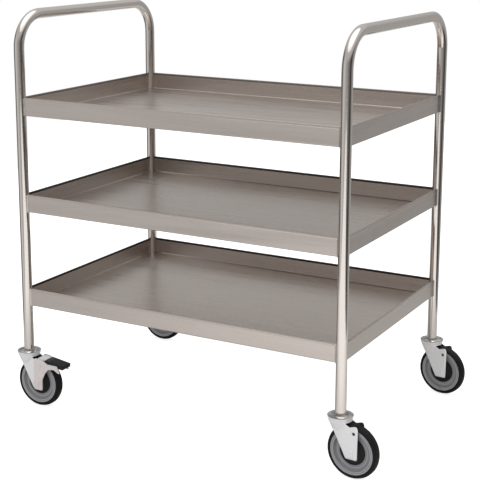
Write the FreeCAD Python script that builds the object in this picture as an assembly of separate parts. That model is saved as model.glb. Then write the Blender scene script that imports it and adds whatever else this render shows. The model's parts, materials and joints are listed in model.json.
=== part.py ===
import FreeCAD, Part
import math
import os

# Shelf trolley: two bent-tube end frames, three folded trays and four swivel castors.
# Millimetres, +Z up, long side along X, standing on z = 0.
# The origin is the middle of the footprint that frame and castors cover together.

# End frames
leg_spacing_x = 860.0
leg_spacing_y = 570.0
tube_diameter = 25.0
tube_wall = 1.5
handle_top_height = 989.0
handle_bend_radius = 80.0

# Trays
bottom_rim_height = 301.0
tray_pitch = 239.0
tray_wall_height = 44.0
sheet_thickness = 1.2
wall_overhang = 3.0
hem_height = 10.0
hem_gap = 0.3
fold_radius = 2.0
weld_gap = 0.2

# Stiffening channel under each tray
stiffener_width = 60.0
stiffener_depth = 15.0
stiffener_flange = 15.0
stiffener_end_gap = 45.0

# Wheel
wheel_diameter = 125.0
tread_width = 23.5
tread_flat_width = 8.0
tread_crown_drop = 2.0
tread_crown_width = 18.0
tyre_thickness = 9.5
tyre_side_drop = 5.0
tyre_seat_width = 20.0
rim_lip_height = 6.5
web_thickness = 8.0
hub_radius = 13.0
hub_side_gap = 1.5
guard_radius = 31.5
guard_thickness = 2.0
guard_boss_gap = 0.4
guard_rim_width = 3.0

# Fork
trail = 34.0
fork_gap = 30.0
fork_thickness = 2.5
crown_radius = 27.0
crown_wheel_gap = 3.5
crown_skirt = 24.0
leg_top_reach = 23.5
leg_tip_front = 12.5
leg_tip_rear = 18.0
leg_tip_drop = 16.5
leg_tip_radius = 5.0
ear_rear = 19.0
ear_rear_drop = 16.0
ear_reach = 15.0
ear_drop = 4.0
ear_root_reach = 31.0
ear_root_drop = 9.5
fork_front_radius = 6.0
wheel_arch_gap = 3.0
crown_rear_gap = 1.5

# Axle
axle_radius = 5.0
axle_head_radius = 8.0
axle_head_height = 1.8
bush_wall = 2.5
running_clearance = 0.05
seat_clearance = 0.1

# Swivel head
stem_radius = 6.0
stem_head_radius = 9.5
stem_head_height = 4.5
stem_length = 44.0
race_inner_radius = 12.0
race_outer_radius = 24.0
race_height = 2.4
swivel_gap = 0.2
plate_radius = 29.5
plate_thickness = 2.4
plate_rim_width = 2.0
plate_rim_height = 3.0
plate_skirt_drop = 2.2
plate_skirt_radius = 27.5
plate_skirt_width = 2.0
sleeve_length = 40.0

# How far each castor stands turned from trailing straight to the right, in degrees
castor_headings = {"front_left": 0, "front_right": -5, "back_left": 0, "back_right": -9}

# Brake of the two left castors
pivot_behind_axle = 8.5
pivot_below_crown = 22.0
pivot_hole_radius = 4.0
cheek_thickness = 2.0
cheek_tip_radius = 2.0
cheek_front_reach = 6.0
# The cheek's outline above its foot, from the axle, as shares of the wheel's radius
cheek_outline_shares = [(0.29, 0.15), (0.45, 0.49), (0.62, 0.67), (0.88, 0.71), (1.12, 0.58), (1.17, 0.62),
                        (1.04, 0.88), (0.58, 0.88), (0.24, 1.04), (-0.02, 1.04)]
rivet_head_radius = 6.5
rivet_head_height = 1.6
rivet_collar_radius = 6.0
lever_angle = 8.0
lever_travel = 12.0
lever_sheet = 1.5
lever_top_rise = 18.0
lever_front = 7.0
lever_length = 66.0
lever_skirt = 8.0
lever_eye_radius = 8.0
lever_side_gap = 0.8
# The shoe starts this far behind the pivot, as a share of the wheel's radius
shoe_front_share = 0.32
shoe_length = 16.0
shoe_side_gap = 3.0
shoe_clearance = 0.4
pedal_front = 15.0
pedal_thickness = 2.0
pedal_end_gap = 0.5
pedal_end_wall = 4.0
pedal_depth = 10.0
pedal_side_gap = 1.0
pedal_lever_gap = 0.2
pedal_bevel = 1.5

# One overrun serves every cut
overrun = 5.0

# Worked out
tube_radius = tube_diameter / 2
tube_bore_radius = tube_radius - tube_wall
handle_axis_height = handle_top_height - tube_radius
wheel_radius = wheel_diameter / 2
rim_radius = wheel_radius - tyre_thickness
shoe_front = wheel_radius * shoe_front_share
bush_radius = axle_radius + bush_wall
leg_outer = fork_gap / 2 + fork_thickness
crown_chord = math.sqrt(crown_radius ** 2 - leg_outer ** 2)
hub_length = fork_gap - hub_side_gap * 2
crown_top_height = wheel_diameter + crown_wheel_gap + fork_thickness
race_top_height = crown_top_height + race_height
plate_base_height = race_top_height + swivel_gap
tube_foot_height = plate_base_height + plate_thickness
frame_x = -(trail + wheel_radius - plate_radius) / 2
pivot_x = trail + pivot_behind_axle
pivot_z = crown_top_height - pivot_below_crown

corners = {
    "front_left": (-1, -1),
    "front_right": (1, -1),
    "back_left": (-1, 1),
    "back_right": (1, 1),
}
braked = ("front_left", "back_left")


def vec(x, y, z):
    return FreeCAD.Vector(x, y, z)


def corner_place(corner):
    side_x, side_y = corners[corner]
    return vec(frame_x + side_x * leg_spacing_x / 2, side_y * leg_spacing_y / 2, 0)


def moved(shape, place):
    copy = shape.copy()
    copy.translate(place)
    return copy


def at_corners(shape):
    return Part.makeCompound([moved(shape, corner_place(corner)) for corner in corners])


def box(low, high):
    return Part.makeBox(high[0] - low[0], high[1] - low[1], high[2] - low[2], vec(*low))


def upright(radius, low, high, x=0, y=0):
    return Part.makeCylinder(radius, high - low, vec(x, y, low))


def crosswise(radius, low, high, x, z):
    """A round bar along Y."""
    return Part.makeCylinder(radius, high - low, vec(x, low, z), vec(0, 1, 0))


def plate_xz(points, low, high):
    """A flat plate with its outline in X and Z, from y = low to y = high."""
    wire = Part.makePolygon([vec(x, low, z) for x, z in points + points[:1]])
    return Part.Face(wire).extrude(vec(0, high - low, 0))


def spun_about_z(points):
    """A ring turned about Z from its outline in radius and height."""
    wire = Part.makePolygon([vec(r, 0, z) for r, z in points + points[:1]])
    return Part.Face(wire).revolve(vec(0, 0, 0), vec(0, 0, 1), 360)


def spun_about_axle(points):
    """A ring turned about the wheel's axle from its outline in radius and width."""
    wire = Part.makePolygon([vec(trail + r, y, wheel_radius) for r, y in points + points[:1]])
    return Part.Face(wire).revolve(vec(trail, 0, wheel_radius), vec(0, 1, 0), 360)


def both_faces(outline):
    """The outline of one face in radius and width, followed by its mirror image."""
    return outline + [(r, -y) for r, y in reversed(outline)]


def mirrored_y(shape):
    return shape.mirror(vec(0, 0, 0), vec(0, 1, 0))


def edges_at(shape, test):
    return [edge for edge in shape.Edges if test(edge.BoundBox)]


def handle_path(x):
    half = leg_spacing_y / 2
    straight_top = handle_axis_height - handle_bend_radius
    inner = half - handle_bend_radius
    mid = handle_bend_radius * math.sin(math.pi / 4)
    front = Part.makeLine(vec(x, -half, tube_foot_height), vec(x, -half, straight_top))
    front_bend = Part.Arc(vec(x, -half, straight_top), vec(x, -inner - mid, straight_top + mid),
                          vec(x, -inner, handle_axis_height)).toShape()
    top = Part.makeLine(vec(x, -inner, handle_axis_height), vec(x, inner, handle_axis_height))
    back_bend = Part.Arc(vec(x, inner, handle_axis_height), vec(x, inner + mid, straight_top + mid),
                         vec(x, half, straight_top)).toShape()
    back = Part.makeLine(vec(x, half, straight_top), vec(x, half, tube_foot_height))
    return Part.Wire([front, front_bend, top, back_bend, back])


def swept(path, radius):
    start = path.Vertexes[0].Point
    ring = Part.Wire(Part.makeCircle(radius, start, vec(0, 0, 1)))
    return path.makePipeShell([ring], True, False)


def end_frame(side):
    """One length of tube bent into two legs and the push handle."""
    path = handle_path(frame_x + side * leg_spacing_x / 2)
    return swept(path, tube_radius).cut(swept(path, tube_bore_radius))


def folded_box(half_x, half_y, low, high, radius):
    block = box((frame_x - half_x, -half_y, low), (frame_x + half_x, half_y, high))
    bottom = edges_at(block, lambda bounds: bounds.ZMax < low + radius)
    return block.makeFillet(radius, bottom)


def tray(rim_height):
    """A tray folded from one sheet, with a hemmed rim and its corners notched round the legs."""
    base = rim_height - tray_wall_height
    half_x = leg_spacing_x / 2 + wall_overhang
    half_y = leg_spacing_y / 2 + wall_overhang
    hem = sheet_thickness * 2 + hem_gap
    outer = folded_box(half_x, half_y, base, rim_height, fold_radius + sheet_thickness)
    inner = folded_box(half_x - sheet_thickness, half_y - sheet_thickness, base + sheet_thickness,
                       rim_height - hem_height, fold_radius)
    mouth = box((frame_x - half_x + hem, -half_y + hem, rim_height - hem_height - sheet_thickness),
                (frame_x + half_x - hem, half_y - hem, rim_height + overrun))
    shape = outer.cut(inner).cut(mouth)
    for corner in corners:
        notch = upright(tube_radius + weld_gap, base - overrun, rim_height + overrun)
        shape = shape.cut(moved(notch, corner_place(corner)))
    return shape


def stiffener(rim_height):
    """A top-hat channel welded lengthwise under a tray."""
    top = rim_height - tray_wall_height
    half = stiffener_width / 2 - stiffener_flange
    edge = stiffener_width / 2
    sheet = sheet_thickness
    floor = top - stiffener_depth
    inner = half - sheet
    outline = [(-edge, top), (-inner, top), (-inner, floor + sheet), (inner, floor + sheet), (inner, top),
               (edge, top), (edge, top - sheet), (half, top - sheet), (half, floor), (-half, floor),
               (-half, top - sheet), (-edge, top - sheet)]
    start = frame_x - leg_spacing_x / 2 + stiffener_end_gap
    length = leg_spacing_x - stiffener_end_gap * 2
    wire = Part.makePolygon([vec(start, y, z) for y, z in outline + outline[:1]])
    return Part.Face(wire).extrude(vec(length, 0, 0))


def swivel_plate():
    """The dished upper race under each leg. Its outer wall widens upwards and hides the ball race."""
    rim_top = tube_foot_height + plate_rim_height
    rim_inner = plate_radius - plate_rim_width
    skirt_low = plate_base_height - plate_skirt_drop
    skirt_inner = plate_skirt_radius - plate_skirt_width
    bore = stem_radius + seat_clearance
    base = plate_base_height
    return spun_about_z([(bore, base), (skirt_inner, base), (skirt_inner, skirt_low),
                         (plate_skirt_radius, skirt_low), (plate_radius, rim_top), (rim_inner, rim_top),
                         (rim_inner, tube_foot_height), (bore, tube_foot_height)])


def leg_sleeve():
    """The plastic plug that the stem expands inside the leg."""
    return spun_about_z([(stem_radius + seat_clearance, tube_foot_height),
                         (tube_bore_radius - seat_clearance, tube_foot_height),
                         (tube_bore_radius - seat_clearance, tube_foot_height + sleeve_length),
                         (stem_radius + seat_clearance, tube_foot_height + sleeve_length)])


def stem_bolt():
    """The king bolt that hangs the fork from its leg."""
    head_top = crown_top_height - fork_thickness - swivel_gap
    head = Part.makeCylinder(stem_head_radius, stem_head_height, vec(0, 0, head_top - stem_head_height))
    return head.fuse(upright(stem_radius, head_top - stem_head_height, plate_base_height + stem_length))


def leg_tip_height():
    return wheel_radius - leg_tip_drop


def fork_outline():
    """One leg from the side: slanted front, foot under the axle, and an ear behind the crown."""
    tip_z = leg_tip_height()
    top = crown_top_height
    return [(-leg_top_reach, top), (trail - leg_tip_front, tip_z), (trail + leg_tip_rear, tip_z),
            (trail + ear_rear, top - ear_rear_drop), (trail + ear_reach, top - ear_drop),
            (ear_root_reach, top - ear_root_drop), (crown_chord, top - ear_drop), (crown_chord, top)]


def fork_block():
    block = plate_xz(fork_outline(), -leg_outer, leg_outer)
    rounded = (trail - leg_tip_front, trail + leg_tip_rear, trail + ear_reach)
    tips = edges_at(block, lambda bounds: bounds.YLength > leg_outer
                    and any(abs(bounds.XMin - x) < seat_clearance for x in rounded))
    block = block.makeFillet(leg_tip_radius, tips)
    front = edges_at(block, lambda bounds: bounds.YLength < seat_clearance and bounds.XLength > leg_top_reach
                     and bounds.XMin < -crown_radius / 2 and bounds.ZLength > crown_skirt)
    return block.makeFillet(fork_front_radius, front)


def fork_inside():
    """The space that the pressing leaves open for the wheel."""
    top, tip = fork_outline()[:2]
    inset = fork_thickness * math.hypot(tip[0] - top[0], tip[1] - top[1]) / (top[1] - tip[1])
    far = trail + ear_rear + overrun
    under = tip[1] - overrun
    inner_top = crown_top_height - fork_thickness
    half = fork_gap / 2
    hollow = plate_xz([(top[0] + inset, inner_top), (tip[0] + inset, tip[1]), (tip[0] + inset, under),
                       (far, under), (far, inner_top)], -half, half)
    arch = crosswise(wheel_radius + wheel_arch_gap, -half, half, trail, wheel_radius)
    rear = box((crown_radius + crown_rear_gap, -half, under), (far, half, crown_top_height + overrun))
    return hollow.fuse(arch).fuse(rear)


def crown_skirt_cone(radius, top):
    low = crown_top_height - crown_skirt
    narrowing = crown_radius - leg_outer
    return Part.makeCone(radius - narrowing, radius, top - low, vec(0, 0, low))


def fork():
    """The pressed fork: a round crown that flows into two flat legs."""
    inner_top = crown_top_height - fork_thickness
    skirt = crown_skirt_cone(crown_radius, inner_top)
    inner_skirt = crown_skirt_cone(crown_radius - fork_thickness, inner_top)
    crown = upright(crown_radius, inner_top, crown_top_height)
    shape = fork_block().fuse(skirt).fuse(crown)
    shape = shape.cut(fork_inside()).cut(inner_skirt)
    bore = stem_radius + running_clearance
    shape = shape.cut(upright(bore, inner_top - overrun, crown_top_height + overrun))
    across = leg_outer + overrun
    shape = shape.cut(crosswise(axle_radius + seat_clearance, -across, across, trail, wheel_radius))
    shape = shape.cut(crosswise(pivot_hole_radius, -across, across, pivot_x, pivot_z))
    return shape.removeSplitter()


def race_ring():
    return spun_about_z([(race_inner_radius, crown_top_height), (race_outer_radius, crown_top_height),
                         (race_outer_radius, race_top_height), (race_inner_radius, race_top_height)])


def axle(grip):
    """The axle, with a flat head on each side."""
    end = grip + axle_head_height
    head = axle_head_radius
    return spun_about_axle([(0, -end), (head, -end), (head, -grip), (axle_radius, -grip),
                            (axle_radius, grip), (head, grip), (head, end), (0, end)])


def axle_bush():
    """The steel spacer tube that the wheel turns on, held between the legs."""
    half = fork_gap / 2
    bore = axle_radius + seat_clearance
    return spun_about_axle([(bore, -half), (bush_radius, -half), (bush_radius, half), (bore, half)])


def wheel_centre():
    """Hub, web and rim in one moulding."""
    lip_inner = rim_radius - rim_lip_height
    face = [(bush_radius + running_clearance, hub_length / 2), (hub_radius, hub_length / 2),
            (hub_radius, web_thickness / 2), (lip_inner - rim_lip_height / 2, web_thickness / 2),
            (lip_inner, tyre_seat_width / 2), (rim_radius, tyre_seat_width / 2)]
    return spun_about_axle(both_faces(face))


def tyre():
    side = wheel_radius - tyre_side_drop
    face = [(rim_radius, tyre_seat_width / 2), (side, tread_width / 2),
            (wheel_radius - tread_crown_drop, tread_crown_width / 2), (wheel_radius, tread_flat_width / 2)]
    return spun_about_axle(both_faces(face))


def thread_guards():
    """A dished plastic disc on each side of the wheel keeps thread off the axle."""
    inner = hub_radius + guard_boss_gap
    face = web_thickness / 2
    outer_face = hub_length / 2
    disc = spun_about_axle([(inner, outer_face - guard_thickness), (guard_radius - guard_rim_width, face),
                            (guard_radius, face), (inner, outer_face)])
    return Part.makeCompound([disc, mirrored_y(disc)])


def brake_cheeks():
    """The side plates outside the fork legs, whose arms reach back beside the pedal."""
    tip_z = leg_tip_height()
    front_x = trail - cheek_front_reach
    above = [(trail + x * wheel_radius, wheel_radius + z * wheel_radius) for x, z in cheek_outline_shares]
    top_z = above[-1][1]
    foot = [(front_x, top_z - cheek_front_reach), (front_x, tip_z), (trail + leg_tip_rear, tip_z)]
    outline = foot + above
    cheek = plate_xz(outline, leg_outer, leg_outer + cheek_thickness)
    folds = edges_at(cheek, lambda bounds: bounds.YLength > seat_clearance and bounds.XLength < seat_clearance
                     and bounds.ZLength < seat_clearance)
    cheek = cheek.makeFillet(cheek_tip_radius, folds)
    across = leg_outer + cheek_thickness + overrun
    cheek = cheek.cut(crosswise(axle_radius + seat_clearance, 0, across, trail, wheel_radius))
    cheek = cheek.cut(crosswise(pivot_hole_radius, 0, across, pivot_x, pivot_z))
    return Part.makeCompound([cheek, mirrored_y(cheek)])


def lever_half_width():
    return fork_gap / 2 - lever_side_gap


def brake_rivets():
    """A stub rivet on each side carries the lever without crossing the tyre."""
    inner = lever_half_width() - lever_sheet
    outer = leg_outer + cheek_thickness
    shaft = crosswise(pivot_hole_radius - running_clearance, inner, outer, pivot_x, pivot_z)
    collar = crosswise(rivet_collar_radius, lever_half_width() + swivel_gap, fork_gap / 2, pivot_x, pivot_z)
    head = crosswise(rivet_head_radius, outer, outer + rivet_head_height, pivot_x, pivot_z)
    rivet = shaft.fuse(collar).fuse(head).removeSplitter()
    return Part.makeCompound([rivet, mirrored_y(rivet)])


def seated_lever(shape):
    """From the lever's own level frame, with its pivot at zero, to its place on the fork."""
    seated = shape.copy()
    seated.rotate(vec(0, 0, 0), vec(0, 1, 0), lever_angle)
    seated.translate(vec(pivot_x, 0, pivot_z))
    return seated


def brake_lever():
    """A pressed channel with an eye on each flange."""
    half = lever_half_width()
    top = lever_top_rise
    plate = box((-lever_front, -half, top - lever_sheet), (lever_length, half, top))
    low = top - lever_skirt
    flange = plate_xz([(-lever_front, top), (-lever_front, 0), (lever_eye_radius, 0),
                       (lever_eye_radius * 2, low), (lever_length, low), (lever_length, top)],
                      half - lever_sheet, half)
    flange = flange.fuse(crosswise(lever_eye_radius, half - lever_sheet, half, 0, 0))
    lever = plate.fuse(flange).fuse(mirrored_y(flange))
    lever = lever.cut(crosswise(pivot_hole_radius, -half - overrun, half + overrun, 0, 0))
    return seated_lever(lever.removeSplitter())


def brake_shoe():
    """The block under the lever, hollowed so that it meets the tyre as the pedal goes down."""
    half = lever_half_width() - shoe_side_gap
    top = lever_top_rise - lever_sheet
    block = seated_lever(box((shoe_front, -half, 0), (shoe_front + shoe_length, half, top)))
    pressed = crosswise(wheel_radius + shoe_clearance, -fork_gap / 2, fork_gap / 2, trail, wheel_radius)
    released = pressed.copy()
    pressed.rotate(vec(pivot_x, 0, pivot_z), vec(0, 1, 0), -lever_travel)
    return block.cut(pressed).cut(released)


def brake_pedal():
    """The plastic foot pad, a hood pushed over the lever's end between the arms of the cheeks."""
    half = leg_outer - pedal_side_gap
    top = lever_top_rise + pedal_thickness
    end = lever_length + pedal_end_gap
    low = top - pedal_depth
    pad = box((pedal_front, -half, low), (end + pedal_end_wall, half, top))
    upper = edges_at(pad, lambda bounds: bounds.ZMin > top - seat_clearance)
    pad = pad.makeChamfer(pedal_bevel, upper)
    inner = lever_half_width() + pedal_lever_gap
    hollow = box((pedal_front - overrun, -inner, low - overrun), (end, inner, lever_top_rise))
    return seated_lever(pad.cut(hollow))


def save(shape, name):
    os.makedirs("parts", exist_ok=True)
    shape.exportStep("parts/" + name + ".step")
    print(name, len(shape.Solids), "solids", round(shape.Volume / 1000, 1), "cm3", shape.isValid())


def save_frame():
    save(end_frame(-1), "end_frame_left")
    save(end_frame(1), "end_frame_right")
    for step, level in enumerate(("bottom", "middle", "top")):
        rim_height = bottom_rim_height + step * tray_pitch
        save(tray(rim_height), level + "_tray")
        save(stiffener(rim_height), level + "_stiffener")
    save(at_corners(swivel_plate()), "swivel_plates")
    save(at_corners(leg_sleeve()), "leg_sleeves")
    save(at_corners(stem_bolt()), "stem_bolts")


def save_castor(corner):
    place = corner_place(corner)
    grip = leg_outer + (cheek_thickness if corner in braked else 0)
    pieces = {
        "fork": fork(),
        "race_ring": race_ring(),
        "axle": axle(grip),
        "axle_bush": axle_bush(),
        "wheel_centre": wheel_centre(),
        "tyre": tyre(),
        "thread_guards": thread_guards(),
    }
    if corner in braked:
        pieces["brake_cheeks"] = brake_cheeks()
        pieces["brake_rivets"] = brake_rivets()
        pieces["brake_lever"] = brake_lever()
        pieces["brake_shoe"] = brake_shoe()
        pieces["brake_pedal"] = brake_pedal()
    for name, shape in pieces.items():
        turned = shape.copy()
        turned.rotate(vec(0, 0, 0), vec(0, 0, 1), castor_headings[corner])
        save(moved(turned, place), name + "_" + corner)


save_frame()
for corner in corners:
    save_castor(corner)
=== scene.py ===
# %% [markdown]
# # A steel shelf trolley
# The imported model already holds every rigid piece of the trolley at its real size. This lesson
# dresses it: the camera, the finishes, the small forms that steel and rubber show at a closer
# look, and the light. Lengths are metres, and the object stands on z = 0.

# %% Load the frame
import json
import math

import bmesh
import bpy
from mathutils import Matrix, Vector


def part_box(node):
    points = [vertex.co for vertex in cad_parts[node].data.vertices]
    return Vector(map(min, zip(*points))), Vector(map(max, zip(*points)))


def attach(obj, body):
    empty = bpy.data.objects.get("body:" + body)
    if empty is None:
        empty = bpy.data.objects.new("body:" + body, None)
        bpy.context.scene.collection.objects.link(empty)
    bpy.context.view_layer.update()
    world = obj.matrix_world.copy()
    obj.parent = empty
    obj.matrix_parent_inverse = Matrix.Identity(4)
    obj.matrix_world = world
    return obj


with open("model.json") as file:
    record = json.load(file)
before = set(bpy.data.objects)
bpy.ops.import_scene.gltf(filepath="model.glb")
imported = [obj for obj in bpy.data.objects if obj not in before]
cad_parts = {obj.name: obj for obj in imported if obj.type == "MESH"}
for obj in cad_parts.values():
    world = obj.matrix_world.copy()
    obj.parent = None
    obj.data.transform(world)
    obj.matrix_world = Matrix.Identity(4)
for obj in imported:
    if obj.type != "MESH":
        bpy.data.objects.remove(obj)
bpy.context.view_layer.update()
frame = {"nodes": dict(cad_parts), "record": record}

# %% [markdown]
# ## Camera
# A photograph of an object can be matched by one camera only. Its place, direction, focal length
# and lens shift were solved from the straight edges of trays and legs, so they are given here as
# plain numbers. A shift is needed because the photograph is not cut round the lens's axis.

# %% Place the camera
left_frame, right_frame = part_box("end_frame_left"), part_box("end_frame_right")
frame_centre_x = (left_frame[0].x + right_frame[1].x) / 2
camera_from_centre = Vector((1.472, -2.618, 1.208))
camera_azimuth, camera_fall, camera_roll = map(math.radians, (28.05, 11.84, 0.33))
focal_share, shift_share = 2.572, (-0.0442, -0.1332)
sensor_width = 36.0

camera = bpy.data.objects.new("camera", bpy.data.cameras.new("camera"))
bpy.context.scene.collection.objects.link(camera)
camera.location = camera_from_centre + Vector((frame_centre_x, 0, 0))
turn = Matrix.Rotation(camera_azimuth, 4, "Z") @ Matrix.Rotation(math.pi / 2 - camera_fall, 4, "X")
camera.rotation_euler = (turn @ Matrix.Rotation(camera_roll, 4, "Z")).to_euler()
camera.data.sensor_width = sensor_width
camera.data.lens = sensor_width * focal_share
camera.data.shift_x, camera.data.shift_y = shift_share
bpy.context.scene.camera = camera
print("lens:", round(camera.data.lens, 1), "mm, standing", round(camera.location.length, 2), "m away")

# %% [markdown]
# ## Building a finish from nodes
# A finish is a small tree of nodes: coordinates go in, noise and arithmetic shape them, and the
# shader at the end takes colour, roughness and bump. Trees could be drawn by hand in Blender's
# editor, but a few helpers say the same in one line each. One fills a socket, one adds any node
# with its values, one does arithmetic, and two more mix values or colours.

# %% Node helpers
def feed(tree, socket, value):
    """Link another node's output to a socket, or write a plain value into it."""
    if isinstance(value, bpy.types.NodeSocket):
        tree.links.new(value, socket)
    else:
        socket.default_value = value


def add_node(tree, kind, inputs=None, **settings):
    node = tree.nodes.new(kind)
    for name, value in settings.items():
        setattr(node, name, value)
    for name, value in (inputs or {}).items():
        feed(tree, node.inputs[name], value)
    return node


def calculate(tree, operation, *values, kind="ShaderNodeMath", result="Value"):
    """Arithmetic on plain values and on the outputs of other nodes."""
    node = add_node(tree, kind, operation=operation)
    for socket, value in zip(node.inputs, values):
        feed(tree, socket, value)
    return node.outputs[result]


def blend(tree, share, first, second):
    return add_node(tree, "ShaderNodeMix", {"Factor": share, "A": first, "B": second}).outputs["Result"]


def blend_colours(tree, share, first, second):
    mix = add_node(tree, "ShaderNodeMix", {"Factor": share, "A": first, "B": second}, data_type="RGBA")
    return mix.outputs["Result"]


print("node helpers ready")

# %% [markdown]
# ## Noise, ranges, bump and tint
# Most surfaces here come from a noise used up to three times: it drifts the colour between two
# tones, varies the gloss, and lifts the surface by a hair. Stretching the coordinates before it
# turns round spots into long scratches. The noise reads object coordinates, which are metres on
# every piece, so that one scratch is as wide on a small piece as on a large one.

# %% Finish helpers
evenly = (1.0, 1.0, 1.0)
most_noise = (0.3, 0.7)


def new_material(name, colour, metallic, roughness):
    material = bpy.data.materials.new(name)
    material.use_nodes = True
    shader = material.node_tree.nodes["Principled BSDF"]
    shader.inputs["Base Color"].default_value = (*colour, 1)
    shader.inputs["Metallic"].default_value = metallic
    shader.inputs["Roughness"].default_value = roughness
    material.diffuse_color = (*colour, 1)
    return material, material.node_tree, shader


def coordinates(tree, kind):
    return add_node(tree, "ShaderNodeTexCoord").outputs[kind]


def split(tree, vector):
    """The X, Y and Z of a vector as three values."""
    return add_node(tree, "ShaderNodeSeparateXYZ", {"Vector": vector}).outputs


def grain(tree, stretch, scale, detail=3.0):
    """Noise, finer along each axis as its stretch grows."""
    place = {"Vector": coordinates(tree, "Object"), "Scale": stretch}
    stretched = add_node(tree, "ShaderNodeMapping", place).outputs["Vector"]
    noise = {"Vector": stretched, "Scale": scale, "Detail": detail}
    return add_node(tree, "ShaderNodeTexNoise", noise).outputs["Fac"]


def remap(tree, value, low=0.0, high=1.0, source=most_noise):
    """Bring a value from its source range to low and high."""
    ranges = {"Value": value, "From Min": source[0], "From Max": source[1], "To Min": low, "To Max": high}
    return add_node(tree, "ShaderNodeMapRange", ranges).outputs["Result"]


def add_bump(tree, shader, height, strength, distance, over=None):
    """Lift the surface by a noise, on top of another bump where one is given."""
    bump = add_node(tree, "ShaderNodeBump", {"Height": height, "Strength": strength, "Distance": distance})
    if over:
        tree.links.new(over, bump.inputs["Normal"])
    tree.links.new(bump.outputs["Normal"], shader.inputs["Normal"])
    return bump.outputs["Normal"]


def tint(tree, shader, value, dark, light):
    """Colour that drifts between two tones."""
    tree.links.new(blend_colours(tree, value, (*dark, 1), (*light, 1)), shader.inputs["Base Color"])


def stain(tree, shader, share, colour):
    """Lay another colour over the tones that are there, where the share is high."""
    clean = shader.inputs["Base Color"].links[0].from_socket
    tree.links.new(blend_colours(tree, share, clean, colour), shader.inputs["Base Color"])


print("finish helpers ready")

# %% [markdown]
# ## Brushed tray steel
# The trays are folded from stainless sheet that was brushed along its length. Brushed steel is a
# metal with thousands of fine parallel scratches. A noise that is stretched a hundredfold along
# the grain gives them, both as changes in roughness and as a very shallow bump. A picture of
# scratches could do the same, but it would repeat. On the end walls the grain runs along Y, so the
# surface's own normal picks the direction. Thin sheet is never quite flat: a slow bump makes
# reflections drift, as they do on every real tray.

# %% Tray steel
along_grain = 2.0
sideways_between = (0.45, 0.55)


def along_sheet(tree, cross, scale, detail=3.0):
    """Noise drawn out along X, or along Y on the walls that face sideways."""
    lengthwise = grain(tree, (along_grain, cross, cross), scale, detail)
    crosswise = grain(tree, (cross, along_grain, cross), scale, detail)
    sideways = calculate(tree, "ABSOLUTE", split(tree, coordinates(tree, "Normal"))["X"])
    return blend(tree, remap(tree, sideways, source=sideways_between), lengthwise, crosswise)


def tray_steel():
    material, tree, shader = new_material("brushed_sheet", (0.60, 0.54, 0.50), metallic=1.0, roughness=0.33)
    scratches = along_sheet(tree, cross=260.0, scale=6.0)
    streaks = along_sheet(tree, cross=34.0, scale=1.6, detail=4.0)
    tint(tree, shader, remap(tree, streaks), dark=(0.565, 0.507, 0.466), light=(0.635, 0.575, 0.533))
    fine, broad = remap(tree, scratches, low=0.22, high=0.32), remap(tree, streaks, high=0.09)
    tree.links.new(calculate(tree, "ADD", fine, broad), shader.inputs["Roughness"])
    waves = add_bump(tree, shader, grain(tree, evenly, scale=3.2, detail=1.0), strength=0.7, distance=0.004)
    add_bump(tree, shader, scratches, strength=0.10, distance=0.0002, over=waves)
    return material


sheet_finish = tray_steel()
print("made", sheet_finish.name)

# %% [markdown]
# ## Polished tube
# The legs and handles are polished after bending, so they mirror the room in a narrow bright line
# with dark edges. One low roughness all over would look like chrome. Polishing leaves faint rings
# round the tube, so a noise that is fine along Z moves the gloss between smooth and a little rough.

# %% Tube steel
in_rings = (4.0, 4.0, 180.0)
tube_tone = (0.74, 0.685, 0.64)


def tube_steel():
    smooth, rough = 0.06, 0.14
    material, tree, shader = new_material("polished_tube", tube_tone, metallic=1.0, roughness=smooth)
    rings = grain(tree, in_rings, scale=4.0)
    tree.links.new(remap(tree, rings, smooth, rough), shader.inputs["Roughness"])
    add_bump(tree, shader, rings, strength=0.05, distance=0.0002)
    return material


tube_finish = tube_steel()
print("made", tube_finish.name)

# %% [markdown]
# ## Zinc plate
# Castors are pressed from mild steel and plated with zinc. Zinc is a metal, but under its haze it
# scatters light almost like white paint, so these finishes are only partly metallic. The plating
# is slightly mottled, and drawing the steel through its press leaves faint upright lines in the
# gloss. The cheeks of the brakes, with the rivets and axles that hold them, have a warmer plating.

# %% Zinc finishes
def zinc_plate(name, dark, light, metallic):
    material, tree, shader = new_material(name, light, metallic, roughness=0.38)
    mottled = grain(tree, evenly, scale=160.0, detail=5.0)
    drawn = grain(tree, (1.0, 1.0, 0.05), scale=420.0, detail=2.0)
    tint(tree, shader, remap(tree, mottled), dark, light)
    tree.links.new(remap(tree, drawn, low=0.30, high=0.46), shader.inputs["Roughness"])
    add_bump(tree, shader, mottled, strength=0.04, distance=0.0003)
    return material, tree, shader


zinc_finish = zinc_plate("bright_zinc", (0.93, 0.93, 0.94), (0.97, 0.97, 0.97), metallic=0.15)[0]
warm_zinc = zinc_plate("warm_zinc", (0.83, 0.765, 0.75), (0.89, 0.82, 0.80), metallic=0.3)[0]
print("made", zinc_finish.name, "and", warm_zinc.name)

# %% [markdown]
# ## Dull grey in the dishes
# The dish of a swivel plate looks up, and there the zinc turns dull grey in patches. It could be
# painted on by hand. Here the surface's own direction finds the place: where the Z of its normal
# is high, patches of dull grey lie over the zinc.

# %% Dish of the swivel plates
dark_dish_grey, pale_dish_grey = (0.22, 0.22, 0.23, 1), (0.56, 0.56, 0.57, 1)
upward_between, patches_between = (0.6, 0.9), (0.38, 0.62)


def swivel_plate_zinc():
    """Bright outside, and dull grey in patches on the faces that look up."""
    material, tree, shader = zinc_plate("plate_zinc", (0.92, 0.92, 0.93), (0.97, 0.97, 0.97), metallic=0.15)
    upward = remap(tree, split(tree, coordinates(tree, "Normal"))["Z"], source=upward_between)
    patches = remap(tree, grain(tree, evenly, scale=70.0), source=patches_between)
    stain(tree, shader, upward, blend_colours(tree, patches, dark_dish_grey, pale_dish_grey))
    return material


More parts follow.
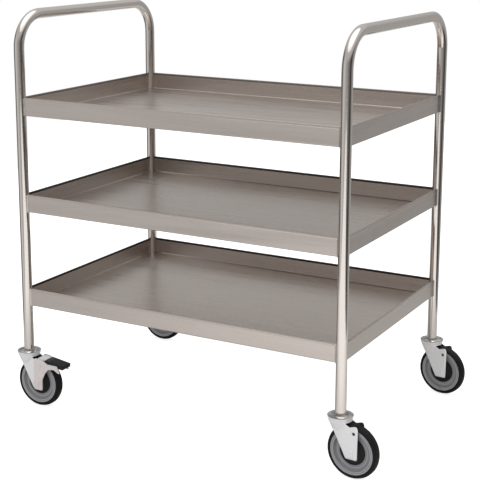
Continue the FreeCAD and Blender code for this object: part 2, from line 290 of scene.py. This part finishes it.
plate_finish = swivel_plate_zinc()
print("made", plate_finish.name)

# %% [markdown]
# ## Painted shade in the forks
# The inside of each fork is painted nearly black, as painted shade and the painted reflection of
# the black tyre, while the outside stays bright. The product of two things finds the inner faces:
# how far a point is from the middle of the castor, and which way its surface looks. It is below
# zero where the surface looks inwards.

# %% Inside of the forks
inner_shade_tone = (0.05, 0.05, 0.06, 1)
inwards_between = (-0.008, -0.003)
joint_of = {joint["name"]: joint for joint in frame["record"]["behaviour"]["joints"]}


def fork_zinc(corner):
    """Bright outside. Inside, the fork is painted nearly black: painted shade and the tyre's painted
    reflection.
    """
    name = "fork_zinc_" + corner
    material, tree, shader = zinc_plate(name, (0.94, 0.94, 0.95), (0.98, 0.98, 0.98), metallic=0.12)
    middle_y = joint_of["swivel_" + corner]["pos_m"][1]
    from_middle = calculate(tree, "SUBTRACT", split(tree, coordinates(tree, "Object"))["Y"], middle_y)
    outward = calculate(tree, "MULTIPLY", from_middle, split(tree, coordinates(tree, "Normal"))["Y"])
    inside = remap(tree, outward, low=1.0, high=0.0, source=inwards_between)
    # Painted shade: the inner faces get a nearly black tone instead of the zinc.
    stain(tree, shader, inside, inner_shade_tone)
    return material


print("joints with a place:", len(joint_of))

# %% [markdown]
# ## Turned steel
# Stem bolts, race rings and bushes are turned on a lathe and left bare. Little of them shows, so
# one plain colour is enough, and only the gloss has the lathe's rings.

# %% Turned steel
def turned_steel():
    material, tree, shader = new_material("turned_steel", (0.56, 0.56, 0.57), metallic=1.0, roughness=0.30)
    rings = grain(tree, (20.0, 20.0, 400.0), scale=3.0)
    tree.links.new(remap(tree, rings, low=0.24, high=0.38), shader.inputs["Roughness"])
    return material


steel_finish = turned_steel()
print("made", steel_finish.name)

# %% [markdown]
# ## Plastics and rubber
# Wheel centres are grey moulded plastic, guards and pedals black plastic, and tyres black rubber
# with a dull sheen. A mould leaves a fine even texture, so one recipe does for all: small spots in
# colour, gloss and bump. The raised rings of a wheel are smoother and a paler grey. Black plastic
# and rubber mirror less than the rest, which their lower shine says.

# %% Moulded finishes
rough_drift = 0.05


def moulded(name, dark, light, roughness, pores, shine=0.5):
    material, tree, shader = new_material(name, light, metallic=0.0, roughness=roughness)
    shader.inputs["Specular IOR Level"].default_value = shine
    speckle = grain(tree, evenly, scale=700.0, detail=4.0)
    tint(tree, shader, remap(tree, speckle), dark, light)
    gloss = remap(tree, speckle, low=roughness - rough_drift, high=roughness + rough_drift)
    tree.links.new(gloss, shader.inputs["Roughness"])
    add_bump(tree, shader, speckle, strength=pores, distance=0.0002)
    return material


guard_tones = (0.006, 0.006, 0.007), (0.012, 0.012, 0.014)
pedal_tones = (0.005, 0.005, 0.008), (0.010, 0.010, 0.016)
grey_plastic = moulded("grey_plastic", (0.27, 0.27, 0.285), (0.315, 0.315, 0.33), 0.42, pores=0.06)
lip_plastic = moulded("lip_plastic", (0.42, 0.42, 0.435), (0.47, 0.47, 0.485), 0.30, pores=0.04)
black_plastic = moulded("black_plastic", *guard_tones, 0.42, pores=0.08, shine=0.25)
pedal_plastic = moulded("pedal_plastic", *pedal_tones, 0.30, pores=0.05, shine=0.3)
sleeve_plastic = moulded("sleeve_plastic", (0.07, 0.07, 0.075), (0.10, 0.10, 0.105), 0.5, pores=0.05)
rubber = moulded("tyre_rubber", (0.006, 0.006, 0.006), (0.012, 0.012, 0.012), 0.55, pores=0.10, shine=0.2)
print("made five plastics and", rubber.name)

# %% [markdown]
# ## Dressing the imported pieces
# Each node of the frame gets its finish by a part of its name. The first match counts, so the
# axles of braked castors stand before the other axles. Forks come last, one finish for each
# castor, because the inside of a fork is found from its own middle.

# %% Give each node its finish
corners = ("front_left", "front_right", "back_left", "back_right")
finish_of = {
    "end_frame": tube_finish, "tray": sheet_finish, "stiffener": sheet_finish,
    "swivel_plates": plate_finish, "leg_sleeves": sleeve_plastic, "stem_bolts": steel_finish,
    "race_ring": steel_finish, "axle_bush": steel_finish,
    "axle_front_left": warm_zinc, "axle_back_left": warm_zinc, "axle": zinc_finish,
    "wheel_centre": grey_plastic, "tyre": rubber, "thread_guards": black_plastic,
    "brake_cheeks": warm_zinc, "brake_rivets": warm_zinc, "brake_lever": zinc_finish,
    "brake_shoe": black_plastic, "brake_pedal": pedal_plastic,
}
for corner in corners:
    finish_of["fork_" + corner] = fork_zinc(corner)
for node, piece in frame["nodes"].items():
    finish = next(finish for part, finish in finish_of.items() if part in node)
    for slot in piece.material_slots:
        slot.material = finish
print("dressed", len(frame["nodes"]), "nodes")

# %% [markdown]
# ## Small forms
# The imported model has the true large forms. What the eye still misses are the small ones that
# catch light: the rolled hem of each tray, the welds that hold trays to legs, rings moulded into
# wheels and tyres, and grip ribs on the pedals. They are built vertex by vertex in bmesh, in one
# of two ways: a profile drawn along a straight line, or a profile spun round an axis.

# %% Mesh helpers
mm = 0.001
sharp_angle = math.radians(50)


def in_mm(points):
    return [(u * mm, v * mm) for u, v in points]


def draw_bar(mesh, profile, start, end, across, up):
    """Draw a closed profile of (across, up) points from start to end, with flat ends."""
    across, up = Vector(across), Vector(up)
    rings = []
    for centre in (start, end):
        rings.append([mesh.verts.new(Vector(centre) + across * u + up * v) for u, v in profile])
    for index in range(len(profile)):
        following = (index + 1) % len(profile)
        mesh.faces.new((rings[0][index], rings[0][following], rings[1][following], rings[1][index]))
    mesh.faces.new(rings[0][::-1])
    mesh.faces.new(rings[1])


def spin_ring(mesh, profile, steps):
    """Spin a closed profile of (radius, across) points round the local Y axis."""
    rings = []
    for step in range(steps):
        angle = 2 * math.pi * step / steps
        rings.append([mesh.verts.new((r * math.cos(angle), y, r * math.sin(angle))) for r, y in profile])
    for step in range(steps):
        here, there = rings[step], rings[(step + 1) % steps]
        for index in range(len(profile)):
            following = (index + 1) % len(profile)
            mesh.faces.new((here[index], here[following], there[following], there[index]))


def add_piece(name, mesh, finish, body, place=None):
    """Turn a drawn mesh into a piece with a finish that rides on a body."""
    bmesh.ops.recalc_face_normals(mesh, faces=mesh.faces)
    data = bpy.data.meshes.new(name)
    mesh.to_mesh(data)
    mesh.free()
    if place:
        data.transform(place)
    data.materials.append(finish)
    for polygon in data.polygons:
        polygon.use_smooth = True
    data.set_sharp_from_angle(angle=sharp_angle)
    piece = bpy.data.objects.new(name, data)
    bpy.context.scene.collection.objects.link(piece)
    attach(piece, body)


print("mesh helpers ready")

# %% [markdown]
# ## Where the legs stand
# Hems, welds and foot rings all start at a leg. An end frame stands in one plane, so the middle of
# its box gives the X of both its legs. The front and back of the box, less the tube's radius, give
# their Y. Places that are read from the model stay right when the model changes.

# %% Leg places
leg_radius = 12.5 * mm
leg_places = {}
for side, (low, high) in (("left", left_frame), ("right", right_frame)):
    centre_x = (low.x + high.x) / 2
    for end, sign in (("front", -1), ("back", 1)):
        leg_places[end + "_" + side] = Vector((centre_x, sign * (high.y - leg_radius), 0))
print("legs", {name: (round(leg.x, 4), round(leg.y, 4)) for name, leg in leg_places.items()})

# %% [markdown]
# ## The steel of the hems
# A sheet edge is sharp enough to cut, so the maker folds it back on itself, to the inside. The
# fold leaves a narrow gap under it, which lies in shade from inside the tray, and the lower trays
# lie in the shade of the trays above, while the outside stays bright. The gap could be modelled,
# but a painted shade is simpler: each hem's inward faces get a dark tone, darker the lower the
# tray is. The finish asks which way a face looks, as for the forks: a normal that points to the
# middle of the trolley gets the painted shade.

# %% Hem steel
hem_outside = (0.56, 0.50, 0.46)
# Painted shade: the inward faces of each hem take these dark tones, darker for the lower trays.
hem_shade_inside = {"bottom": (0.05, 0.045, 0.042), "middle": (0.08, 0.073, 0.067), "top": (0.26, 0.237, 0.218)}
inner_between = (-0.12, -0.02)


def with_vectors(tree, operation, first, second, result="Vector"):
    return calculate(tree, operation, first, second, kind="ShaderNodeVectorMath", result=result)


def hem_steel(level):
    material, tree, shader = new_material("hem_steel_" + level, hem_outside, metallic=1.0, roughness=0.25)
    rolled = grain(tree, in_rings, scale=4.0)
    tree.links.new(remap(tree, rolled, low=0.20, high=0.30), shader.inputs["Roughness"])
    from_middle = with_vectors(tree, "SUBTRACT", coordinates(tree, "Object"), (frame_centre_x, 0, 0))
    level_part = with_vectors(tree, "MULTIPLY", from_middle, (1, 1, 0))
    facing_out = with_vectors(tree, "DOT_PRODUCT", level_part, coordinates(tree, "Normal"), result="Value")
    bright = remap(tree, facing_out, source=inner_between)
    tint(tree, shader, bright, dark=hem_shade_inside[level], light=hem_outside)
    return material


print("hem tones for", len(hem_shade_inside), "trays")

# %% [markdown]
# ## Hems of the trays
# The folded edge is a small roll that runs from leg to leg on each side. Every room reflects in it
# as a thin line, and that line draws the rim of each tray. One profile drawn along a straight line
# is enough, because the walls are straight between the legs. Its points say how far they lie
# inwards from the outer face of the wall, and above the rim, in millimetres.

# %% Rolled hems
hem_profile = in_mm([(0, -5.5), (-0.3, -4.6), (-0.4, -2.0), (0, -0.4), (0.7, 0.3), (1.5, 0.4),
                     (2.4, 0.1), (3.2, -0.9), (3.5, -2.4), (3.3, -4.2), (2.7, -5.5)])
tray_levels = ("bottom", "middle", "top")
left, right = leg_places["front_left"].x + leg_radius, leg_places["front_right"].x - leg_radius
front, back = leg_places["front_left"].y + leg_radius, leg_places["back_left"].y - leg_radius
for level in tray_levels:
    low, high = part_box(level + "_tray")
    mesh = bmesh.new()
    for sign, x, y in ((-1, low.x, low.y), (1, high.x, high.y)):
        draw_bar(mesh, hem_profile, (left, y, high.z), (right, y, high.z), across=(0, -sign, 0), up=(0, 0, 1))
        draw_bar(mesh, hem_profile, (x, front, high.z), (x, back, high.z), across=(-sign, 0, 0), up=(0, 0, 1))
    add_piece(level + "_tray_hem", mesh, hem_steel(level), "trolley_frame")
print("three hems, each", len(hem_profile), "points round")

# %% [markdown]
# ## Welds
# Each tray is welded to its legs along the ends of its walls. The weld is ground to a smooth
# hollow fillet, and below the wall it runs out on the leg in a small web. Fillet and web are two
# more profiles. The web's hollow is a quarter circle, so its points come from a formula.

# %% Weld profiles
fillet_profile = in_mm([(-0.6, -0.3), (3.4, -0.3), (3.4, 0.05), (1.5, 0.4), (0.4, 1.2),
                        (-0.7, 2.8), (-1.6, 2.8)])
web_reach, web_sheet, web_lap, web_root = 6.5 * mm, 1.2 * mm, 0.3 * mm, 0.6 * mm
web_steps = 6
web_profile = [(-web_root, web_lap), (web_reach, web_lap), (web_reach, 0)]
for step in range(1, web_steps):
    angle = math.pi / 2 * step / web_steps
    web_profile.append((web_reach * (1 - math.sin(angle)), -web_reach * (1 - math.cos(angle))))
web_profile += [(0, -web_reach), (-web_root, -web_reach)]
print("web of", len(web_profile), "points")

# %% [markdown]
# ## Placing the welds
# Two walls end at each leg, and each end gets its fillet and web. A wall doesn't run to the
# middle of the leg but a little outside it, so it meets the round tube nearer than one radius: the
# distance follows from a right-angled triangle.

# %% Welds at the legs
weld_start, weld_stop = 1.5 * mm, 0.5 * mm


def weld_wall(mesh, leg, along_wall, outward, low_z, high_z, wall_offset):
    """One wall's end at one leg: the upright fillet, and the web under the wall."""
    reach = math.sqrt(leg_radius ** 2 - wall_offset ** 2)
    joint = leg + along_wall * reach + outward * wall_offset
    low, high = Vector((joint.x, joint.y, low_z)), Vector((joint.x, joint.y, high_z))
    draw_bar(mesh, fillet_profile, low, high, along_wall, outward)
    draw_bar(mesh, web_profile, low - outward * web_sheet, low, along_wall, (0, 0, 1))


for level in tray_levels:
    low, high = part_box(level + "_tray")
    bottom, top = low.z + weld_start, high.z - weld_stop
    mesh = bmesh.new()
    for name, leg in leg_places.items():
        to_side = Vector((1 if "right" in name else -1, 0, 0))
        to_end = Vector((0, 1 if "back" in name else -1, 0))
        weld_wall(mesh, leg, -to_side, to_end, bottom, top, high.y - abs(leg.y))
        weld_wall(mesh, leg, -to_end, to_side, bottom, top, high.x - leg_places["front_right"].x)
    add_piece(level + "_tray_welds", mesh, sheet_finish, "trolley_frame")
print("welds on", len(leg_places), "legs at", len(tray_levels), "trays")

# %% [markdown]
# ## Foot rings
# Where a leg stands in the dish of its swivel plate, a weld closes the joint, and the dish has a
# pressed ring that stiffens it. Both are rings round the leg, spun round Y and then set upright.

# %% Foot welds and dish rings
foot_steps = 48
dish_depth = 3.0 * mm
dish_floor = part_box("swivel_plates")[1].z - dish_depth
weld_ring = in_mm([(12.3, 0), (15.6, 0), (14.3, 0.5), (13.2, 1.4), (12.3, 3.2)])
dish_ring = in_mm([(19.0, 0), (19.9, 0.7), (21.0, 0.9), (22.1, 0.7), (23.0, 0)])
foot_rings = (("foot_weld_", weld_ring, tube_finish, "tube_steel"),
              ("dish_ring_", dish_ring, plate_finish, "zinc_plate"))
upright = Matrix.Rotation(math.pi / 2, 4, "X")
for name, leg in leg_places.items():
    place = Matrix.Translation((leg.x, leg.y, dish_floor)) @ upright
    for ring_name, profile, finish, slot in foot_rings:
        mesh = bmesh.new()
        spin_ring(mesh, profile, foot_steps)
        add_piece(ring_name + name, mesh, finish, "trolley_frame", place)
print("dish floor at", round(dish_floor / mm, 1), "mm")

# %% [markdown]
# ## Where each wheel is
# The joints of the record say where each wheel's axle is and which way it points. From them comes
# one matrix for each wheel that takes a ring spun round Y to its place.

# %% Wheel places
def wheel_place(corner):
    roll = joint_of["roll_" + corner]
    heading = math.atan2(-roll["axis"][0], roll["axis"][1])
    return Matrix.Translation(roll["pos_m"]) @ Matrix.Rotation(heading, 4, "Z")


print("axle height", round(wheel_place("front_left").translation.z / mm, 1), "mm")

# %% [markdown]
# ## Rings on the wheels
# A moulded wheel centre has a raised lip beside the tyre and steps on its web, because the mould
# is turned on a lathe and rings cost nothing. The tyre has two raised bands on each side wall, and
# the thread guard a thick rim and a step. Each ring is a low bump of five or six points, given as
# radius and distance from the wheel's middle, in millimetres, and mirrored to the other side.

# %% Ring profiles
outer_lip = in_mm([(50.2, 9.9), (50.7, 10.6), (51.6, 10.9), (52.5, 10.6), (52.9, 9.9)])
inner_lip = in_mm([(45.9, 9.3), (46.3, 10.3), (47.0, 10.5), (47.8, 10.3), (48.3, 9.9)])
web_ring = in_mm([(36.5, 3.9), (37.0, 4.7), (38.0, 4.9), (39.0, 4.7), (39.5, 3.9)])
low_band = in_mm([(53.6, 10.1), (53.9, 10.9), (54.6, 11.2), (55.3, 11.3), (55.8, 11.0)])
high_band = in_mm([(56.3, 11.1), (56.6, 11.7), (57.3, 11.95), (58.0, 11.8), (58.4, 11.2)])
guard_rim = in_mm([(28.6, 5.3), (29.0, 6.1), (30.2, 6.0), (31.3, 5.2), (31.6, 4.1), (30.4, 4.3)])
guard_step = in_mm([(18.6, 10.5), (19.0, 11.3), (20.2, 11.1), (21.4, 9.9), (21.3, 9.2)])
print("seven ring profiles, the widest of radius", round(max(r for r, y in high_band) / mm, 1), "mm")

# %% [markdown]
# ## Spinning the rings
# The rings of one part of a wheel have one finish, so they become one piece, and it turns with
# the wheel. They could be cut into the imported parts, but those stay as they are. A low ring that
# stands on the surface looks the same and is simpler.

# %% Rings of wheel, tyre and guard
wheel_steps = 96
ring_sets = (
    ("wheel_rings_", (outer_lip, inner_lip, web_ring), lip_plastic, "wheel_plastic"),
    ("tyre_bands_", (low_band, high_band), rubber, "tyre_rubber"),
    ("guard_rings_", (guard_rim, guard_step), black_plastic, "black_plastic"),
)
for corner in corners:
    for name, profiles, finish, slot in ring_sets:
        mesh = bmesh.new()
        for profile in profiles:
            spin_ring(mesh, profile, wheel_steps)
            spin_ring(mesh, [(r, -y) for r, y in profile], wheel_steps)
        add_piece(name + corner, mesh, finish, "wheel_" + corner, wheel_place(corner))
print(len(ring_sets), "sets of rings on each of", len(corners), "wheels")

# %% [markdown]
# ## Pedal grip
# A shoe must not slip off a brake pedal, so its top has low ribs. Only the two castors on the left
# have a brake. The pedal slopes with its lever, so the ribs are drawn level round the lever's pivot
# and then turned down with it.

# %% Pedal ribs
rib_profile = in_mm([(-0.9, -0.2), (-0.7, 0.5), (0, 0.8), (0.7, 0.5), (0.9, -0.2)])
lever_slope = math.radians(8)
pedal_top, rib_half, first_rib, rib_pitch, rib_count = 20.0 * mm, 13.5 * mm, 30.0 * mm, 5.0 * mm, 8
braked = ("front_left", "back_left")
for corner in braked:
    mesh = bmesh.new()
    for index in range(rib_count):
        x = first_rib + rib_pitch * index
        start, end = (x, -rib_half, pedal_top), (x, rib_half, pedal_top)
        draw_bar(mesh, rib_profile, start, end, across=(1, 0, 0), up=(0, 0, 1))
    pivot = Matrix.Translation(joint_of["brake_" + corner]["pos_m"])
    place = pivot @ Matrix.Rotation(lever_slope, 4, "Y")
    add_piece("pedal_ribs_" + corner, mesh, pedal_plastic, "brake_" + corner, place)
print(rib_count, "ribs on each pedal")

# %% [markdown]
# ## One surface, three kinds of light
# A steel object is mostly a picture of the room round it, so the room comes before the lamp. The
# floor and the walls have to do three things: look white to the camera, show tones in the steel,
# and light the trolley evenly. The Light Path node tells these rays apart, so that each can have
# a strength of its own.

# %% Strength by kind of ray
def by_ray(tree, seen, mirrored, lighting):
    """One value for what the camera sees, one for mirrors and glass, one for rays that only light."""
    rays = add_node(tree, "ShaderNodeLightPath").outputs
    in_mirror = calculate(tree, "MAXIMUM", rays["Is Glossy Ray"], rays["Is Transmission Ray"])
    return blend(tree, rays["Is Camera Ray"], blend(tree, in_mirror, lighting, mirrored), seen)


print("rays are told apart by the Light Path node")

# %% [markdown]
# ## Paper on the floor
# A strip of white paper lies on the floor, along the camera's line of sight. It is an ordinary
# matt surface that keeps the soft shadow under the wheels. To the camera it also glows, so it
# reads as pure white and no more light falls on the trolley for it. In reflections only the part
# in front of the trolley glows. What lies under and behind it stays dim in the steel, as a shaded
# floor does.

# %% White paper
paper_half_width, paper_half_length = 1.15, 5.0
seen_glow, front_glow, back_glow = 0.78, 0.49, 0.0
glow_fades_between = (-1.0, -0.2)
signs = ((-1, -1), (1, -1), (1, 1), (-1, 1))
paper_corners = [(x * paper_half_width, y * paper_half_length, 0) for x, y in signs]
paper_mesh = bpy.data.meshes.new("paper")
paper_mesh.from_pydata(paper_corners, [], [(0, 1, 2, 3)])
paper_sheet = bpy.data.objects.new("paper_sheet", paper_mesh)
paper_sheet.rotation_euler.z = camera_azimuth
bpy.context.scene.collection.objects.link(paper_sheet)

paper, paper_tree, paper_shader = new_material("paper", (0.72, 0.72, 0.72), metallic=0.0, roughness=0.9)
paper_mesh.materials.append(paper)
paper_shader.inputs["Emission Color"].default_value = (1, 1, 1, 1)
lengthwise = split(paper_tree, coordinates(paper_tree, "Object"))["Y"]
mirrored_glow = remap(paper_tree, lengthwise, low=front_glow, high=back_glow, source=glow_fades_between)
glow = by_ray(paper_tree, seen_glow, mirrored_glow, lighting=0.0)
paper_tree.links.new(glow, paper_shader.inputs["Emission Strength"])
print("paper", 2 * paper_half_width, "by", 2 * paper_half_length, "m")

# %% [markdown]
# ## Walls and ceiling
# Beyond the paper stands the room. The camera sees white there, and one even level lights the
# trolley. In reflections the room is brightest on the front left and the back left, where its
# windows would be, and nearly black straight to the left and the right. Those dark sides draw the
# dark lines along the edges of every polished tube. The walls have eight levels all round, and
# more levels belong to the slope of the ceiling and its middle.

# %% Levels of the room
wall_levels = {"back": 0.42, "back_right": 0.40, "right": 0.02, "front_right": 0.25,
               "front": 0.45, "front_left": 0.72, "left": 0.02, "back_left": 0.63}
slope_back, slope_front, ceiling_middle = 0.62, 0.56, 1.2
seen_level, lit_level = 1.0, 0.75
wall_to_slope, slope_to_middle, front_to_back = (0.25, 0.50), (0.75, 0.95), (-0.4, 0.4)
print("walls from", min(wall_levels.values()), "to", max(wall_levels.values()))

# %% [markdown]
# ## The room as a world
# Walls could be modelled, but a world has no edges to hide and nothing that stands in the way. The
# direction of a ray, as a share of a full turn, picks the wall's level from a colour ramp. Its
# height picks between wall, slope and ceiling. The Standard view shows the tones as they are set.

# %% The room as a world
world = bpy.data.worlds.new("room")
world.use_nodes = True
bpy.context.scene.world = world
room = world.node_tree
background = room.nodes["Background"]
towards = split(room, coordinates(room, "Generated"))

full_turns = calculate(room, "DIVIDE", calculate(room, "ARCTAN2", towards["X"], towards["Y"]), 2 * math.pi)
round_the_room = calculate(room, "FRACT", calculate(room, "ADD", full_turns, 1.0))
ramp = add_node(room, "ShaderNodeValToRGB", {"Fac": round_the_room})
walls = list(wall_levels.values())
stops = ramp.color_ramp.elements
while len(stops) < len(walls) + 1:
    stops.new(0.5)
for index, stop in enumerate(stops):
    stop.position = index / len(walls)
# Stops may change their order while they move, so their tones are set once all stand still.
for index, stop in enumerate(stops):
    level = walls[index % len(walls)]
    stop.color = (level, level, level, 1)

slope = blend(room, remap(room, towards["Y"], source=front_to_back), slope_front, slope_back)
slope_share = remap(room, towards["Z"], source=wall_to_slope)
above_walls = blend(room, slope_share, ramp.outputs["Color"], slope)
ceiling_share = remap(room, towards["Z"], source=slope_to_middle)
in_mirrors = blend(room, ceiling_share, above_walls, ceiling_middle)
room.links.new(by_ray(room, seen_level, in_mirrors, lit_level), background.inputs["Strength"])
background.inputs["Color"].default_value = (1, 1, 1, 1)
bpy.context.scene.view_settings.view_transform = "Standard"
print("a ramp of", len(stops), "stops round the room")

# %% [markdown]
# ## Lamp
# The room lights the trolley evenly, which leaves it flat. One round lamp overhead, a little to
# the front, adds light from above. A small lamp would throw hard shadows, so this one is four
# metres wide, and it is weak beside the room.

# %% One lamp overhead
lamp_place, lamp_aim = Vector((0.3, -0.4, 3.2)), Vector((0, 0, 0.5))
lamp = bpy.data.lights.new("overhead", "AREA")
lamp.shape = "DISK"
lamp.size = 4.0
lamp.energy = 23
light = bpy.data.objects.new("overhead", lamp)
bpy.context.scene.collection.objects.link(light)
light.location = lamp_place
light.rotation_euler = (lamp_aim - lamp_place).to_track_quat("-Z", "Y").to_euler()
print("lamp of", lamp.energy, "W,", lamp.size, "m wide")

# %% [markdown]
# ## The end
# The trolley is dressed, lit and framed by its camera.

# %% End
print("done")
